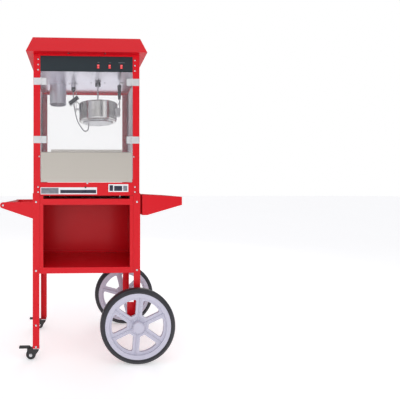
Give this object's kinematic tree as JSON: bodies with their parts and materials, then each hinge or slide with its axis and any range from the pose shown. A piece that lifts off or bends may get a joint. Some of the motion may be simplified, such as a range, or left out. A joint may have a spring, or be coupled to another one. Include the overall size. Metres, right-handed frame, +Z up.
{
  "type": "popcorn machine on cart",
  "caption": "Red kettle popcorn machine with a canopy roof, clear doors and a drop-down serving flap, standing on a wheeled cart with a cupboard, side tray and push handle.",
  "frame": {"origin": "on the floor under the middle of the whole object's box", "axes": "+Z up, +Y from the door side to the back, +X to the operator's right, towards the big wheels and the side tray"},
  "size_m": [0.8544, 0.498, 1.506],
  "materials": {
    "red_paint": "glossy baked enamel",
    "red_tube": "glossy baked enamel",
    "black_panel": "satin",
    "satin_steel": "satin, grained lengthwise",
    "hinge_steel": "polished",
    "mirror_steel": "bright polished",
    "kettle_steel": "spun and polished",
    "heater_steel": "satin",
    "strap_steel": "satin",
    "zinc": "zinc plated",
    "clear_pane": "clear polished sheet",
    "lamp_glass": "pearl glass",
    "switch_red": "translucent gloss",
    "grip_black": "moulded",
    "plug_black": "moulded",
    "hub_black": "black enamel",
    "cable_grey": "smooth sheath",
    "motor_grey": "satin",
    "foot_rubber": "moulded",
    "wheel_grey": "satin moulded",
    "tyre_black": "moulded",
    "castor_black": "satin moulded"
  },
  "bodies": {
    "frame": {"roof_canopy": "red_paint", "corner_posts": "red_paint", "machine_base": "red_paint", "top_box": "red_paint", "cart_legs": "red_paint", "cart_deck": "red_paint", "cupboard_sides": "red_paint", "cupboard_back": "red_paint", "cupboard_shelf": "red_paint", "side_tray": "red_paint", "handle_brackets": "red_paint", "axle_plates": "red_paint", "push_handle": "red_tube", "control_panel": "black_panel", "door_sill": "satin_steel", "popcorn_floor": "satin_steel", "post_hinge_leaves": "hinge_steel", "hinge_pins": "hinge_steel", "ceiling_plate": "mirror_steel", "ceiling_socket": "mirror_steel", "kettle_hangers": "mirror_steel", "lamp_shade": "mirror_steel", "case_screws": "zinc", "cart_bolts": "zinc", "axle": "zinc", "castor_plates": "zinc", "glass_panes": "clear_pane", "lamp_bulb": "lamp_glass", "kettle_plug": "plug_black", "cable_gland": "plug_black", "kettle_cable": "cable_grey", "gear_motor": "motor_grey", "machine_feet": "foot_rubber"},
    "door_left": {"door_left": "clear_pane", "door_left_leaves": "hinge_steel"},
    "door_right": {"door_right": "clear_pane", "door_right_leaves": "hinge_steel"},
    "serving_flap": {"serving_flap": "satin_steel"},
    "kettle": {"kettle_pot": "kettle_steel", "heater_base": "heater_steel", "lid_fixed": "kettle_steel", "tipping_grip": "grip_black", "lifting_grip": "grip_black", "grip_straps": "strap_steel"},
    "lid_flap": {"lid_flap": "kettle_steel"},
    "stirrer": {"stirrer": "strap_steel"},
    "drive_hub": {"drive_hub": "hub_black"},
    "rocker_heat": {"rocker_heat": "switch_red"},
    "rocker_stir": {"rocker_stir": "switch_red"},
    "rocker_lamp": {"rocker_lamp": "switch_red"},
    "wheel_front": {"wheel_front": "wheel_grey", "tyre_front": "tyre_black"},
    "wheel_back": {"wheel_back": "wheel_grey", "tyre_back": "tyre_black"},
    "castor_fork_front": {"castor_fork_front": "castor_black"},
    "castor_wheel_front": {"castor_wheel_front": "castor_black"},
    "brake_pedal_front": {"brake_pedal_front": "castor_black"},
    "castor_fork_back": {"castor_fork_back": "castor_black"},
    "castor_wheel_back": {"castor_wheel_back": "castor_black"},
    "brake_pedal_back": {"brake_pedal_back": "castor_black"}
  },
  "joints": [
    {"name": "door_left_swing", "type": "hinge", "parent": "frame", "child": "door_left", "pos_m": [-0.23855, -0.1814, 1.165], "axis": [0, 0, -1], "range_deg": [0, 110]},
    {"name": "door_right_swing", "type": "hinge", "parent": "frame", "child": "door_right", "pos_m": [0.19105, -0.1814, 1.165], "axis": [0, 0, 1], "range_deg": [0, 110]},
    {"name": "flap_drop", "type": "hinge", "parent": "frame", "child": "serving_flap", "pos_m": [-0.02375, -0.174, 0.836], "axis": [1, 0, 0], "range_deg": [0, 100]},
    {"name": "kettle_tilt", "type": "hinge", "parent": "frame", "child": "kettle", "pos_m": [0.04025, 0, 1.215], "axis": [1, 0, 0], "range_deg": [0, 100], "deforming": ["kettle_cable"]},
    {"name": "lid_lift", "type": "hinge", "parent": "kettle", "child": "lid_flap", "pos_m": [0.04025, -0.013, 1.2438], "axis": [-1, 0, 0], "range_deg": [0, 75]},
    {"name": "hub_spin", "type": "hinge", "parent": "frame", "child": "drive_hub", "pos_m": [0.04025, 0, 1.345], "axis": [0, 0, 1], "continuous": true},
    {"name": "stirrer_spin", "type": "hinge", "parent": "kettle", "child": "stirrer", "pos_m": [0.04025, 0, 1.245], "axis": [0, 0, 1], "continuous": true},
    {"name": "rocker_heat_press", "type": "hinge", "parent": "frame", "child": "rocker_heat", "pos_m": [0.02995, -0.179, 1.373], "axis": [-1, 0, 0], "range_deg": [0, 24]},
    {"name": "rocker_stir_press", "type": "hinge", "parent": "frame", "child": "rocker_stir", "pos_m": [0.08375, -0.179, 1.373], "axis": [-1, 0, 0], "range_deg": [0, 24]},
    {"name": "rocker_lamp_press", "type": "hinge", "parent": "frame", "child": "rocker_lamp", "pos_m": [0.13925, -0.179, 1.373], "axis": [-1, 0, 0], "range_deg": [0, 24]},
    {"name": "wheel_front_spin", "type": "hinge", "parent": "frame", "child": "wheel_front", "pos_m": [0.20825, -0.221, 0.1725], "axis": [0, 1, 0], "continuous": true},
    {"name": "wheel_back_spin", "type": "hinge", "parent": "frame", "child": "wheel_back", "pos_m": [0.20825, 0.221, 0.1725], "axis": [0, 1, 0], "continuous": true},
    {"name": "castor_front_swivel", "type": "hinge", "parent": "frame", "child": "castor_fork_front", "pos_m": [-0.26025, -0.1665, 0.05], "axis": [0, 0, 1], "continuous": true},
    {"name": "castor_front_roll", "type": "hinge", "parent": "castor_fork_front", "child": "castor_wheel_front", "pos_m": [-0.28525, -0.1665, 0.023], "axis": [0, 1, 0], "continuous": true},
    {"name": "brake_front_press", "type": "hinge", "parent": "castor_fork_front", "child": "brake_pedal_front", "pos_m": [-0.29625, -0.1665, 0.05], "axis": [0, -1, 0], "range_deg": [0, 15]},
    {"name": "castor_back_swivel", "type": "hinge", "parent": "frame", "child": "castor_fork_back", "pos_m": [-0.26025, 0.1665, 0.05], "axis": [0, 0, 1], "continuous": true},
    {"name": "castor_back_roll", "type": "hinge", "parent": "castor_fork_back", "child": "castor_wheel_back", "pos_m": [-0.28525, 0.1665, 0.023], "axis": [0, 1, 0], "continuous": true},
    {"name": "brake_back_press", "type": "hinge", "parent": "castor_fork_back", "child": "brake_pedal_back", "pos_m": [-0.29625, 0.1665, 0.05], "axis": [0, -1, 0], "range_deg": [0, 15]}
  ],
  "couplings": [
    {"joint": "stirrer_spin", "follows": "hub_spin", "ratio": 1}
  ]
}
